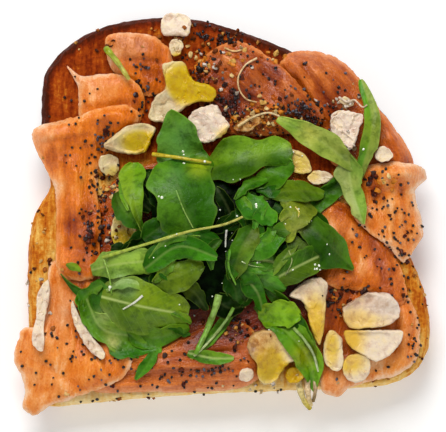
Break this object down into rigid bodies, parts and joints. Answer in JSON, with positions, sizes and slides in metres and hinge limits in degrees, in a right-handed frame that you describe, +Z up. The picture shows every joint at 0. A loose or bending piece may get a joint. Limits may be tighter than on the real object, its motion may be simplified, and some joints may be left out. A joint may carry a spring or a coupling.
{
  "type": "open sandwich",
  "caption": "Open sandwich: a slice of toast laid with smoked salmon, poppy seeds and pieces of cheese, with a heap of dressed rocket in the middle.",
  "frame": {"origin": "on the toast's flat underside, near the middle of the slice", "axes": "+Z up from the underside to the toppings, +Y towards the loaf's domed crust, +X to the right when seen from above with the domed crust at the top"},
  "size_m": [0.1191, 0.1152, 0.0323],
  "materials": {
    "toast": "dry toasted crumb and browned crust",
    "salmon": "moist smoked salmon",
    "cheese": "soft crumbly cheese",
    "cream": "soft white cheese",
    "rocket": "dressed green leaf"
  },
  "bodies": {
    "root": {"toast": "toast", "salmon_centre": "salmon", "salmon_top_right": "salmon", "salmon_top_centre": "salmon", "salmon_top_upper": "salmon", "salmon_top_lower": "salmon", "salmon_right_lower": "salmon", "salmon_right_middle": "salmon", "salmon_right": "salmon", "salmon_bottom": "salmon", "salmon_left_lower": "salmon", "salmon_left_fold": "salmon", "cream_smear_left": "cream", "cheese_yellow_chunk": "cheese", "cheese_left_wedge": "cheese", "cheese_crumbly": "cheese", "cheese_tall_wedge": "cheese", "cheese_dome": "cheese", "cheese_quarter": "cheese", "cheese_round_piece": "cheese", "cheese_left_curl": "cheese", "cheese_top_flake": "cheese", "cheese_top_crumb": "cheese", "cheese_white_chunk": "cheese", "cheese_left_flake": "cheese", "cheese_left_slab": "cheese", "cheese_cube": "cheese", "cheese_bar": "cheese", "cheese_right_flake": "cheese", "cheese_pale_strip": "cheese", "cheese_low_piece": "cheese", "cheese_white_bit": "cheese", "cheese_golden_bit": "cheese", "cheese_scrap": "cheese", "cheese_small_bit": "cheese", "rocket_stalk": "rocket", "rocket_heap": "rocket"}
  },
  "joints": []
}
